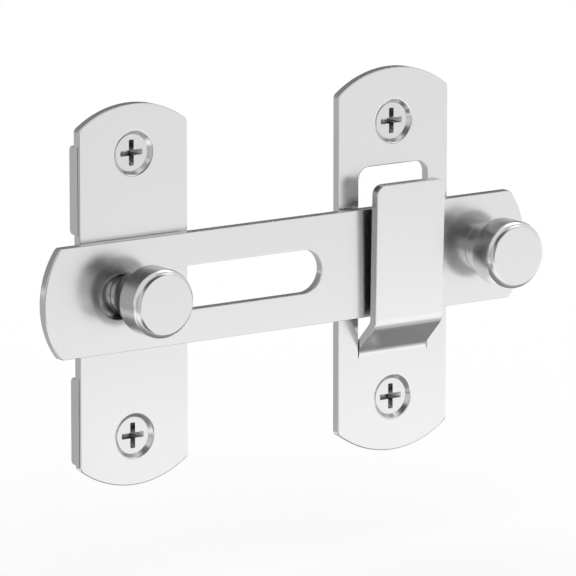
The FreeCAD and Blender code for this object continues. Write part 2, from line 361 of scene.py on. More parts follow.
def ring(name: str, outer: float, inner: float, front: Vector, length: float,
         edge_break: float = 0.1 * MM) -> Piece:
    """Makes a sleeve or a washer from a disc that is inset, opened and extruded.

    Args:
        name: The piece's name.
        outer: Its outer radius.
        inner: Its bore's radius.
        front: Middle of its front face.
        length: Its length, along Y.
        edge_break: Break on its edges, at most a quarter of its length.

    Returns:
        The ring.
    """
    sleeve = disc(name, outer, front)
    with editing(sleeve):
        bpy.ops.mesh.select_all(action="SELECT")
        bpy.ops.mesh.inset(thickness=outer - inner)
        bpy.ops.mesh.delete(type="FACE")
        bpy.ops.mesh.select_all(action="SELECT")
        extrude(Y_AXIS * length)
    with editing(sleeve):
        pick(Kind.EDGES, lambda edge: is_sharp(edge, TURNED_CORNER))
        bevel(min(edge_break, length / 4), 2)
    smooth(sleeve)
    return sleeve


def srgb(code: str) -> tuple[float, float, float, float]:
    """Turns an sRGB hex colour to the linear one that a shader takes.

    Args:
        code: Six hex digits.

    Returns:
        Linear red, green and blue, and an alpha of one.
    """
    channels = [int(code[i:i + 2], 16) / 255 for i in (0, 2, 4)]
    linear = [c / 12.92 if c <= 0.04045 else ((c + 0.055) / 1.055) ** 2.4 for c in channels]
    return (*linear, 1.0)


def empty_tree(owner: bpy.types.Material | bpy.types.World) -> Tree:
    """Gives a material or the world an empty node tree.

    Args:
        owner: The material or the world.

    Returns:
        The tree.
    """
    owner.use_nodes = True
    owner.node_tree.nodes.clear()
    return owner.node_tree


def add_node(tree: Tree, kind: str, settings: dict[str | int, object] | None = None,
             links: dict[str | int, Node | Socket] | None = None) -> Node:
    """Adds a shader node with its settings and its incoming links.

    Args:
        tree: The tree that the node joins.
        kind: The node's type, without the word ShaderNode before it.
        settings: Values of its properties, or of its inputs where it has no such property.
        links: What feeds its inputs, by the input's name or number: a socket, or a node's first output.

    Returns:
        The node.
    """
    node = tree.nodes.new(f"ShaderNode{kind}")
    for key, value in (settings or {}).items():
        if isinstance(key, str) and hasattr(node, key):
            setattr(node, key, value)
        else:
            node.inputs[key].default_value = value
    for key, source in (links or {}).items():
        socket = source.outputs[0] if isinstance(source, Node) else source
        tree.links.new(socket, node.inputs[key])
    return node


class Grain(Enum):
    """How the fine marks of a finish run."""

    UPRIGHT = "upright"
    LEVEL = "level"
    TURNED = "turned"
    TUMBLED = "tumbled"


@dataclass(frozen=True)
class SteelFinish:
    """Stainless steel as a sheet shop or a lathe leaves it.

    Args:
        name: The material's name.
        colour: The steel's own reflection colour, in sRGB hex.
        roughness: How blurred its reflections are.
        grain: How its marks run.
        mark_width: Width of one mark as drawn.
        mark_length: Length of one mark, where the marks are lines.
        depth: Height of the marks, as the bump's distance.
        roughness_spread: How much the marks change the roughness.
    """

    name: str
    colour: str
    roughness: float
    grain: Grain
    mark_width: float = 0.15 * MM
    mark_length: float = 8 * MM
    depth: float = 0.0006 * MM
    roughness_spread: float = 0.03

    def marks(self, tree: Tree, axis: Vector) -> Node:
        """Draws the marks.

        Args:
            tree: The material's tree.
            axis: A point of the axis that the piece was turned on.

        Returns:
            The node that gives their height, from nought to one.
        """
        place = add_node(tree, "TexCoord").outputs["Object"]
        across, along = 1 / self.mark_width, 1 / self.mark_length
        if self.grain is not Grain.TURNED:
            scales = {Grain.UPRIGHT: (across, across, along), Grain.LEVEL: (along, across, across),
                      Grain.TUMBLED: (across, across, across)}
            mapped = add_node(tree, "Mapping", {"Scale": scales[self.grain]}, {"Vector": place})
            return add_node(tree, "TexNoise", {"Scale": 1.0, "Detail": 2.0, "Roughness": 0.6},
                            {"Vector": mapped})
        centred = add_node(tree, "Mapping", {"Location": -axis}, {"Vector": place})
        flat = add_node(tree, "VectorMath", {"operation": "MULTIPLY", 1: X_AXIS + Z_AXIS}, {0: centred})
        radius = add_node(tree, "VectorMath", {"operation": "LENGTH"}, {0: flat}).outputs["Value"]
        depth = add_node(tree, "SeparateXYZ", None, {"Vector": centred}).outputs["Y"]
        feed = add_node(tree, "Math", {"operation": "ADD"}, {0: radius, 1: depth})
        return add_node(tree, "TexNoise", {"noise_dimensions": "1D", "Scale": across, "Detail": 1.0},
                        {"W": feed})

    def material(self, axis: Vector) -> bpy.types.Material:
        """Builds the finish as a material.

        Args:
            axis: A point of the axis that the piece was turned on.

        Returns:
            The material.
        """
        material = bpy.data.materials.new(self.name)
        tree = empty_tree(material)
        marks = self.marks(tree, axis)
        rough = add_node(tree, "MapRange", {
            "From Min": NOISE_LOW, "From Max": NOISE_HIGH,
            "To Min": self.roughness - self.roughness_spread,
            "To Max": self.roughness + self.roughness_spread}, {"Value": marks})
        bump = add_node(tree, "Bump", {"Strength": 1.0, "Distance": self.depth}, {"Height": marks})
        shader = add_node(tree, "BsdfPrincipled", {"Base Color": srgb(self.colour), "Metallic": 1.0},
                          {"Roughness": rough, "Normal": bump})
        add_node(tree, "OutputMaterial", None, {"Surface": shader})
        return material


# Real satin lines and tool marks are about 0.05 mm apart, which is too fine to show in the render,
# so each finish draws them 0.12 to 0.15 mm wide.

# Cold-rolled stainless sheet, brushed very fine and tumbled: pale, with soft blurred reflections.
# The lines run up the plates, and along the bar.
SHEET_UPRIGHT = SteelFinish("Stainless_Sheet_Satin_Upright", "D4D4D4", 0.22, Grain.UPRIGHT)
SHEET_LEVEL = SteelFinish("Stainless_Sheet_Satin_Level", "D4D4D4", 0.22, Grain.LEVEL)
# Stainless bar turned on a lathe and polished: its hoops and rings are so faint that they only blur
# what it mirrors
TURNED_STEEL = SteelFinish("Stainless_Turned_Polished", "D4D4D4", 0.25, Grain.TURNED,
                           mark_width=0.12 * MM, depth=0.00012 * MM, roughness_spread=0.015)
# The same bar left as turned, on the pieces inside the pivot and the handle's screw: a little darker,
# with deeper hoops
PIVOT_STEEL = SteelFinish("Stainless_Turned_Plain", "D0D0D0", 0.24, Grain.TURNED, mark_width=0.12 * MM)
# Cold-headed stainless screw, tumbled: fine speckle in place of lines
SCREW_STEEL = SteelFinish("Stainless_Screw_Tumbled", "D0D0D0", 0.22, Grain.TUMBLED)


@dataclass
class Sheet:
    """An arc-ended strip of sheet, long along Z, as blanked before it is bent or pierced.

    Args:
        width: Its width, along X.
        length: Its length over both arcs.
        end_rise: How far each arc rises over the shoulders.
        front_y: Depth of its front face.
        thickness: Thickness of the sheet.
        corner_radius: Radius where an arc meets a side.
        edge_break: Radius of its outer edges.
        arc_steps: How many sides a whole circle of the end's radius has.
        corner_steps: How many sides a corner has.
    """

    width: float
    length: float
    end_rise: float
    front_y: float
    thickness: float = 2 * MM
    corner_radius: float = 1 * MM
    edge_break: float = 0.2 * MM
    arc_steps: int = 180
    corner_steps: int = 12

    @property
    def back_y(self) -> float:
        """Depth of its back face."""
        return self.front_y + self.thickness

    def blank(self, name: str) -> Piece:
        """Makes the strip, centred on the Y axis.

        Args:
            name: The piece's name.

        Returns:
            The strip, with rounded corners and square edges.
        """
        half = self.width / 2
        shoulder = self.length / 2 - self.end_rise
        radius = (half ** 2 + self.end_rise ** 2) / (2 * self.end_rise)
        centre = Vector((0, self.back_y, self.length / 2 - radius))
        strip = disc(name, radius, centre, self.arc_steps)
        with editing(strip):
            slice_at(Z_AXIS * shoulder, -Z_AXIS, keep=False)
            pick(Kind.EDGES, lambda edge: all(abs(v.co.z - shoulder) < NEAR for v in edge.verts))
            bpy.ops.mesh.extrude_edges_move(TRANSFORM_OT_translate={"value": (0, 0, -shoulder)})
        apply_modifier(strip, "MIRROR", use_axis=(False, False, True), merge_threshold=MERGE)
        with editing(strip):
            bpy.ops.mesh.select_all(action="SELECT")
            bpy.ops.mesh.dissolve_limited(angle_limit=FLAT_ANGLE)
            pick(Kind.FACES, lambda face: True)
            extrude(Vector((0, -self.thickness, 0)))
        turn = math.pi / 2 - math.asin(half / radius)
        with editing(strip):
            pick(Kind.EDGES, lambda edge: runs_along(edge, Y_AXIS)
                 and abs(abs(middle(edge).x) - half) < NEAR
                 and abs(abs(middle(edge).z) - shoulder) < NEAR)
            bevel(self.corner_radius * math.tan(turn / 2), self.corner_steps)
        return strip

    def countersink(self, strip: Piece, screws: list[Vector], rim: float) -> None:
        """Cuts a right-angled countersink through the strip for each screw.

        Args:
            strip: The strip.
            screws: The screws' places.
            rim: Radius at the front.
        """
        stations = [(rim + OVERCUT, self.front_y - OVERCUT),
                    (rim - self.thickness - OVERCUT, self.front_y + self.thickness + OVERCUT)]
        for screw in screws:
            combine(strip, turned("countersink", stations, screw.x, screw.z))

    def break_edges(self, strip: Piece, spare: Callable[[Vector], bool] = lambda place: False) -> None:
        """Rounds the strip's outer edges a little, and shades it.

        Args:
            strip: The finished strip.
            spare: Says of an edge's middle that the edge is left square.
        """
        with editing(strip):
            pick(Kind.EDGES, lambda edge: is_sharp(edge, SHEET_CORNER) and not spare(middle(edge)))
            bevel(self.edge_break)
        smooth(strip)


def centre_of(node: str) -> Vector:
    """Middle of a node's box in the frame."""
    low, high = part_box(node)
    return (low + high) / 2


def level_centre(node: str) -> Vector:
    """Middle of a node's box, moved to the plane that Y is measured from."""
    centre = centre_of(node)
    return Vector((centre.x, 0, centre.z))


def finish_piece(piece: Piece, finish: SteelFinish, body: str, node: str) -> None:
    """Gives a piece its material, and its place in the frame's tree.

    Args:
        piece: The finished piece.
        finish: Its finish.
        body: The body that it moves with.
        node: The node that it stands for.
    """
    material = finish.material(centre_of(node))
    piece.data.materials.clear()
    piece.data.materials.append(material)
    for polygon in piece.data.polygons:
        polygon.material_index = 0
    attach(piece, body)
    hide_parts(node)
    log.info("%s: %d faces, on %s", piece.name, len(piece.data.polygons), body)


@dataclass
class CrossRecess:
    """Cross-shaped driver recess whose arms taper towards its floor.

    Args:
        span: Width over the arms at the head's face.
        floor_span: Width over the arms at the floor.
        arm: Width of an arm at the face.
        floor_arm: Width of an arm at the floor.
        depth: Depth of the recess.
        corner_round: Radius of the arms' ends and of the floor's edges.
        over: How far its cutter starts before the face.
    """

    span: float = 5.5 * MM
    floor_span: float = 1.8 * MM
    arm: float = 1.2 * MM
    floor_arm: float = 0.5 * MM
    depth: float = 2.7 * MM
    corner_round: float = 0.18 * MM
    over: float = 0.3 * MM

    def cut(self, head: Piece, x: float, face_y: float, z: float, into: int) -> None:
        """Cuts the recess into a head.

        Args:
            head: The screw.
            x: The screw's place along X.
            face_y: Depth of the head's face.
            z: The screw's height.
            into: 1 where the head faces the room, -1 where it faces the wall.
        """
        place = Vector((x, face_y, z))
        long, wide = self.span / 2, self.arm / 2
        longer, wider = self.floor_span / self.span, self.floor_arm / self.arm
        for half, factor in ((Vector((long, 0, wide)), (longer, 1, wider)),
                             (Vector((wide, 0, long)), (wider, 1, longer))):
            front = place - half - Y_AXIS * self.over * into
            back = place + half + Y_AXIS * self.depth * into
            arm = block("recess_arm", Vector(map(min, front, back)), Vector(map(max, front, back)))
            with editing(arm):
                pick(Kind.FACES, lambda face: face.normal.y * into > FACING)
                bpy.ops.transform.resize(value=factor, center_override=place)
                pick(Kind.EDGES, lambda edge: abs(middle(edge).x - x) + abs(middle(edge).z - z)
                     > self.arm and not lies_at_y(edge, face_y - self.over * into))
                bevel(self.corner_round)
            combine(head, arm)


@dataclass
class WallScrew:
    """Countersunk wood screw with a rolled thread.

    Args:
        head_radius: Radius of the flat head.
        head_break: Chamfer round the head's face.
        shank_radius: Radius over the thread.
        core_radius: Radius of the thread's core.
        length: Length from the head's face to the tip.
        tip: Length of the tip's cone.
        pitch: Distance from one turn to the next.
        ridge_radius: Radius of the circle round the thread's three-sided ridge.
        plain: Length from the head's face to where the thread begins.
        thread_turn: Turn of the thread that keeps its edges off the core's, for a clean union.
        crest_room: How far the thread's crest stays inside its envelope, for a clean cut.
        turn_steps: How many sides stand for one turn of the thread.
        round_angle: Its edges under this angle are shaded round.
        recess: The driver recess in its head.
    """

    head_radius: float = 3.73 * MM
    head_break: float = 0.1 * MM
    shank_radius: float = 2.1 * MM
    core_radius: float = 1.45 * MM
    length: float = 19 * MM
    tip: float = 4 * MM
    pitch: float = 1.8 * MM
    ridge_radius: float = 0.7 * MM
    plain: float = 5 * MM
    thread_turn: float = math.radians(0.75)
    crest_room: float = 0.1 * MM
    turn_steps: int = 32
    round_angle: float = math.radians(14)
    recess: CrossRecess = field(default_factory=CrossRecess)

    def thread(self) -> Piece:
        """Winds the thread's ridge round the Y axis, and limits it to the pointed envelope.

        Returns:
            The ridge, closed at both ends.
        """
        place = (self.shank_radius - self.ridge_radius, self.plain, 0)
        ridge = added("thread", bpy.ops.mesh.primitive_circle_add, vertices=3, radius=self.ridge_radius,
                      fill_type="NOTHING", location=place, rotation=(0, 0, -math.pi / 2))
        turns = math.ceil((self.length - self.plain) / self.pitch)
        apply_modifier(ridge, "SCREW", axis="Y", angle=2 * math.pi, screw_offset=self.pitch,
                       iterations=turns, steps=self.turn_steps, render_steps=self.turn_steps)
        with editing(ridge):
            bpy.ops.mesh.select_mode(type="EDGE")
            bpy.ops.mesh.select_all(action="DESELECT")
            bpy.ops.mesh.select_non_manifold()
            bpy.ops.mesh.fill_holes(sides=3)
        placed(ridge, Vector(), self.thread_turn)
        radius = self.shank_radius + self.crest_room
        envelope = turned("thread_envelope", [
            (radius, self.plain - self.pitch),
            (radius, self.length - self.tip * radius / self.shank_radius),
            (0, self.length),
        ], 0, 0)
        combine(ridge, envelope, "INTERSECT")
        return ridge

    def build(self, name: str) -> Piece:
        """Makes the screw on the Y axis, with its head's face at the origin.

        Args:
            name: The piece's name.

        Returns:
            The screw.
        """
        taper = self.head_radius - self.core_radius
        screw = turned(name, [
            (self.head_radius - self.head_break, 0),
            (self.head_radius, self.head_break),
            (self.core_radius, taper),
            (self.core_radius, self.length - self.tip),
            (0, self.length),
        ], 0, 0)
        self.recess.cut(screw, 0, 0, 0, 1)
        combine(screw, self.thread(), "UNION")
        smooth(screw, self.round_angle)
        return screw


@dataclass
class WallFixings:
    """The four wall screws: one is modelled, and copied into each hole.

    Args:
        nodes: The screws' nodes.
        screw: The pattern of all four.
    """

    nodes: tuple[str, ...] = (
        "base_screw_upper", "base_screw_lower", "catch_screw_upper", "catch_screw_lower")
    screw: WallScrew = field(default_factory=WallScrew)

    def build(self) -> None:
        """Builds and dresses the screws."""
        pattern = self.screw.build("wall_screw_pattern")
        for node in self.nodes:
            place = centre_of(node)
            place.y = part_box(node)[0].y
            finish_piece(copied(pattern, f"{node}_turned", place), SCREW_STEEL, "mounting",
                         node)
        bpy.data.objects.remove(pattern, do_unlink=True)


@dataclass
class Knob:
    """Turned knob: a neck, a wider head with a rounded rim, and a blind hole in its foot.

    Args:
        neck_radius: Radius of the neck.
        neck_length: Length of the neck.
        head_radius: Radius of the head.
        head_length: Length of the head, its rim included.
        rim_across: Width of the crowned rim, across the face.
        rim_deep: Depth of the rim, along the axis.
        rim_crown: Half of the angle through which the rim curves.
        edge_round: Radius of its other corners.
        hole_radius: Radius of the threaded hole.
        hole_depth: Depth of the threaded hole.
        rim_steps: How many sides the rim's curve has.
        round_steps: How many sides stand for the round.
    """

    neck_radius: float = 4.95 * MM
    neck_length: float = 5.0 * MM
    head_radius: float = 6.85 * MM
    head_length: float = 6.25 * MM
    rim_across: float = 1.0 * MM
    rim_deep: float = 1.38 * MM
    rim_crown: float = math.radians(26)
    edge_round: float = 0.15 * MM
    hole_radius: float = 2.02 * MM
    hole_depth: float = 7.0 * MM
    rim_steps: int = 14
    round_steps: int = 128

    def rim(self, face_y: float) -> list[tuple[float, float]]:
        """Finds the stations of the crowned rim.

        Args:
            face_y: Where the knob's face lies.

        Returns:
            Radius and y of each station, from the side to the face.
        """
        middle_angle = math.atan2(self.rim_across, self.rim_deep)
        chord = math.hypot(self.rim_across, self.rim_deep)
        radius = chord / (2 * math.sin(self.rim_crown))
        first = middle_angle - self.rim_crown
        last = middle_angle + self.rim_crown
        centre_radius = self.head_radius - radius * math.cos(first)
        centre_y = face_y + radius * math.sin(last)
        angles = [first + (last - first) * step / self.rim_steps for step in range(self.rim_steps + 1)]
        return [(centre_radius + radius * math.cos(angle), centre_y - radius * math.sin(angle))
                for angle in angles]

    def build(self, node: str) -> Piece:
        """Makes the knob that stands for a node.

        Args:
            node: The knob's node, which gives its axis and its foot.

        Returns:
            The knob.
        """
        axis = centre_of(node)
        foot_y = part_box(node)[1].y
        head_y = foot_y - self.neck_length
        face_y = head_y - self.head_length
        knob = turned(f"{node}_turned", [
            (self.hole_radius, foot_y - self.hole_depth),
            (self.hole_radius, foot_y),
            (self.neck_radius, foot_y),
            (self.neck_radius, head_y),
            (self.head_radius, head_y),
            *self.rim(face_y),
        ], axis.x, axis.z, self.round_steps)
        with editing(knob):
            pick(Kind.EDGES, lambda edge: is_sharp(edge, TURNED_CORNER))
            bevel(self.edge_round)
        smooth(knob)
        return knob


@dataclass
class BaseAssembly:
    """Base plate on its four tabs, with the holes for its screws, and the pivot.

    Args:
        end_rise: Rise of the plate's end arcs.
        sheet: Thickness of the plate.
        tab_length: Length of a tab, along Z.
        tab_inside_screw: How far a tab's middle lies inside the screws.
        tab_drop: How far the tabs sit below that.
        tab_corner_radius: Radius of a tab's foot corners.
        tab_corner_steps: How many sides such a corner has.
        crease_inside: How far a tab's crease lies behind the plate's front.
        crease_wide: Width of the crease.
        crease_deep: Depth of the crease.
        rim_radius: Radius of the countersinks at the front.
        rivet_radius: Radius of the stud's shank in the plate.
        shoulder_radius: Radius of the shoulder that the bush turns on.
        stud_end_radius: Radius of the stud's threaded end.
        rivet_head_radius: Radius of the stud's head behind the plate.
        bush_radius: Outer radius of the bush.
        fit: Running clearance of the bush and the holes.
    """

    end_rise: float = 4.25 * MM
    sheet: float = 2 * MM
    tab_length: float = 17.5 * MM
    tab_inside_screw: float = 5.2 * MM
    tab_drop: float = 1.2 * MM
    tab_corner_radius: float = 1 * MM
    tab_corner_steps: int = 14
    crease_inside: float = 0.35 * MM
    crease_wide: float = 0.25 * MM
    crease_deep: float = 0.3 * MM
    rim_radius: float = 4.5 * MM
    rivet_radius: float = 2.5 * MM
    shoulder_radius: float = 3 * MM
    stud_end_radius: float = 2 * MM
    rivet_head_radius: float = 3.8 * MM
    bush_radius: float = 4.3 * MM
    fit: float = 0.05 * MM

    def tab_range(self, screw_z: float) -> tuple[float, float]:
        """Finds where the tabs beside a screw begin and end.

        Args:
            screw_z: The screw's height.

        Returns:
            The tabs' lower and upper end.
        """
        inward = -self.tab_inside_screw if screw_z > 0 else self.tab_inside_screw
        centre = screw_z + inward - self.tab_drop
        return centre - self.tab_length / 2, centre + self.tab_length / 2

    def plate(self) -> Piece:
        """Makes the base plate.

        Returns:
            The plate, with tabs, countersinks and the rivet's hole.
        """
        low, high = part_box("base_plate")
        strip = Sheet(high.x - low.x, high.z - low.z, self.end_rise, low.y, self.sheet)
        plate = strip.blank("base_plate_sheet")
        screws = [centre_of("base_screw_upper"), centre_of("base_screw_lower")]
        ranges = [self.tab_range(screw.z) for screw in screws]
        inner = strip.width / 2 - self.sheet

        def in_tab(place: Vector) -> bool:
            """Whether a place lies on a tab's strip."""
            return abs(place.x) > inner and any(lower < place.z < upper for lower, upper in ranges)

        with editing(plate):
            for z in (end for pair in ranges for end in pair):
                slice_at(Z_AXIS * z, Z_AXIS)
            for side in (-1, 1):
                slice_at(X_AXIS * inner * side, X_AXIS)
            pick(Kind.FACES, lambda face: face.normal.y > FACING and in_tab(face.calc_center_median()))
            extrude(Y_AXIS * (high.y - strip.back_y))
            pick(Kind.EDGES, lambda edge: runs_along(edge, X_AXIS) and lies_at_y(edge, high.y))
            bevel(self.tab_corner_radius, self.tab_corner_steps)
        placed(plate, level_centre("base_plate"))
        strip.countersink(plate, screws, self.rim_radius)
        pivot = centre_of("pivot_stud")
        hole = self.rivet_radius + self.fit / 2
        combine(plate, turned("rivet_hole", [(hole, low.y - OVERCUT), (hole, strip.back_y + OVERCUT)],
                              pivot.x, pivot.z))
        strip.break_edges(plate)
        self.crease_tabs(plate, ranges)
        return plate

    def crease_tabs(self, plate: Piece, ranges: list[tuple[float, float]]) -> None:
        """Cuts the fine crease along which each tab was folded back.

        Args:
            plate: The finished plate.
            ranges: Lower and upper ends of the tabs.
        """
        low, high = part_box("base_plate")
        front = low.y + self.crease_inside
        for lower, upper in ranges:
            for x in (low.x, high.x):
                corner = Vector((x - self.crease_deep, front, lower))
                opposite = Vector((x + self.crease_deep, front + self.crease_wide, upper))
                combine(plate, block("tab_crease", corner, opposite))
        smooth(plate)

    def stud(self) -> Piece:
        """Makes the stud: a head behind the plate, a shank, a shoulder and a threaded end.

        Returns:
            The stud.
        """
        axis = centre_of("pivot_stud")
        low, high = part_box("pivot_stud")
        front_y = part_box("base_plate")[0].y
        back_y = front_y + self.sheet
        neck_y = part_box("pivot_knob")[1].y
        chamfer = (high.y - back_y) / 2
        stud = turned("pivot_stud_turned", [
            (self.rivet_head_radius - chamfer, high.y),
            (self.rivet_head_radius, high.y - chamfer),
            (self.rivet_head_radius, back_y),
            (self.rivet_radius, back_y),
            (self.rivet_radius, front_y),
            (self.shoulder_radius, front_y),
            (self.shoulder_radius, neck_y),
            (self.stud_end_radius, neck_y),
            (self.stud_end_radius, low.y + self.fit),
            (self.stud_end_radius - self.fit, low.y),
        ], axis.x, axis.z)
        smooth(stud)
        return stud

    def sleeve(self, node: str, outer: float, inner: float) -> Piece:
        """Makes the bush or the washer between its node's two faces.

        Args:
            node: Its node.
            outer: Its outer radius.
            inner: Its bore's radius.

        Returns:
            The sleeve.
        """
        low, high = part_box(node)
        axis = centre_of(node)
        return ring(f"{node}_turned", outer, inner, Vector((axis.x, low.y, axis.z)), high.y - low.y)

    def build(self) -> None:
        """Builds and dresses the base plate and the pivot."""
        finish_piece(self.plate(), SHEET_UPRIGHT, "mounting", "base_plate")
        finish_piece(self.stud(), PIVOT_STEEL, "mounting", "pivot_stud")
        low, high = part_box("pivot_washer")
        washer = self.sleeve("pivot_washer", (high.x - low.x) / 2, self.bush_radius + self.fit)
        finish_piece(washer, PIVOT_STEEL, "mounting", "pivot_washer")
        bush = self.sleeve("pivot_bush", self.bush_radius, self.shoulder_radius + self.fit)
        finish_piece(bush, PIVOT_STEEL, "bush", "pivot_bush")
        finish_piece(Knob().build("pivot_knob"), TURNED_STEEL, "mounting", "pivot_knob")


@dataclass
class CatchAssembly:
    """Catch plate with its folded hook and the holes for its screws.

    Args:
        end_rise: Rise of the plate's end arcs.
        sheet: Thickness of the plate.
        rim_radius: Radius of the countersinks at the front.
        hook_width: Width of the hook.
        lance_slit: Slit on each side of the hook's root.
        window_below_screw: Window's top, below the upper screw.
        window_radius: Radius of the window's top corners.
        root_below_bar: Where the hook's first bend starts, below the bar's lower edge.
        bend_radius: Inner radius of the two bends.
        slope: Angle of the slope from upright.
        lean: Angle of the tongue from upright.
        slope_run: Length of the slope between its bends.
        rise_over_bar: How far the tongue rises over the bar.
        tongue_radius: Radius of the tongue's corners.
        bend_steps: How many sides a bend has.
        corner_steps: How many sides a corner of the window or the tongue has.
        root_spare: Edges this near the hook's root stay square.
    """

    end_rise: float = 4.7 * MM
    sheet: float = 2 * MM
    rim_radius: float = 4.5 * MM
    hook_width: float = 16.5 * MM
    lance_slit: float = 0.12 * MM
    window_below_screw: float = 8.7 * MM
    window_radius: float = 2.5 * MM
    root_below_bar: float = 8.502 * MM
    bend_radius: float = 2.4 * MM
    slope: float = math.radians(45)
    lean: float = math.radians(1.3)
    slope_run: float = 5.372 * MM
    rise_over_bar: float = 5.1 * MM
    tongue_radius: float = 2 * MM
    bend_steps: int = 12
    corner_steps: int = 16
    root_spare: float = 0.3 * MM

    def window(self, plate: Piece, x: float, root_z: float, top_z: float, front_y: float) -> None:
        """Cuts the window that the hook was folded out of.

        Args:
            plate: The catch plate.
            x: The window's middle along X.
            root_z: Height of the window's foot.
            top_z: Height of its top.
            front_y: Depth of the plate's front.
        """
        half = self.hook_width / 2 + self.lance_slit
        low = Vector((x - half, front_y - 2 * OVERCUT, root_z))
        high = Vector((x + half, front_y + self.sheet + 2 * OVERCUT, top_z))
        cutter = block("window", low, high)
        with editing(cutter):
            pick(Kind.EDGES, lambda edge: runs_along(edge, Y_AXIS) and middle(edge).z > top_z - NEAR)
            bevel(self.window_radius, self.corner_steps)
        combine(plate, cutter)

    def fold_hook(self, plate: Piece, x: float, root_z: float, top_z: float, front_y: float) -> None:
        """Draws the hook out of the window's foot: a bend, a slope, a bend back and a tongue.

        Args:
            plate: The catch plate, with its window.
            x: The hook's middle along X.
            root_z: Height of the window's foot.
            top_z: Height of the tongue's top.
            front_y: Depth of the plate's front.
        """
        half = self.hook_width / 2
        sine, cosine = math.sin(self.slope), math.cos(self.slope)
        up_slope, through_slope = Vector((0, -sine, cosine)), Vector((0, cosine, sine))
        first = Vector((x, front_y - self.bend_radius, root_z))
        back_of_slope = first + (self.bend_radius + self.sheet) * through_slope
        back_of_slope += self.slope_run * up_slope
        second = back_of_slope + self.bend_radius * through_slope
        sine, cosine = math.sin(self.lean), math.cos(self.lean)
        up_tongue, through_tongue = Vector((0, -sine, cosine)), Vector((0, cosine, sine))
        with editing(plate):
            for side in (-1, 1):
                slice_at(X_AXIS * (x + half * side), X_AXIS)
            pick(Kind.FACES, lambda face: face.normal.z > FACING
                 and abs(face.calc_center_median().z - root_z) < NEAR
                 and abs(face.calc_center_median().x - x) < half / 2)
            bpy.ops.mesh.spin(steps=self.bend_steps, angle=-self.slope, center=first, axis=X_AXIS)
            extrude(self.slope_run * up_slope)
            bpy.ops.mesh.spin(
                steps=self.bend_steps, angle=self.slope - self.lean, center=second, axis=X_AXIS)
            foot_z = second.z - (self.bend_radius + self.sheet / 2) * sine
            extrude(up_tongue * (top_z - foot_z) / up_tongue.z)
        with editing(plate):
            pick(Kind.EDGES, lambda edge: runs_along(edge, through_tongue)
                 and middle(edge).z > top_z - self.sheet
                 and abs(abs(middle(edge).x - x) - half) < NEAR)
            bevel(self.tongue_radius, self.corner_steps)

    def plate(self) -> Piece:
        """Makes the catch plate with its hook.

        Returns:
            The plate.
        """
        low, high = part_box("catch_plate")
        bar_low, bar_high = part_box("latch_bar")
        front_y = high.y - self.sheet
        strip = Sheet(high.x - low.x, high.z - low.z, self.end_rise, front_y, self.sheet)
        plate = strip.blank("catch_plate_sheet")
        placed(plate, level_centre("catch_plate"))
        root_z = bar_low.z - self.root_below_bar
        screws = [centre_of("catch_screw_upper"), centre_of("catch_screw_lower")]
        x = centre_of("catch_plate").x
        self.window(plate, x, root_z, screws[0].z - self.window_below_screw, front_y)
        strip.countersink(plate, screws, self.rim_radius)
        self.fold_hook(plate, x, root_z, bar_high.z + self.rise_over_bar, front_y)
        strip.break_edges(plate, lambda place: abs(place.z - root_z) < self.root_spare)
        return plate

    def build(self) -> None:
        """Builds and dresses the catch plate."""
        finish_piece(self.plate(), SHEET_UPRIGHT, "mounting", "catch_plate")


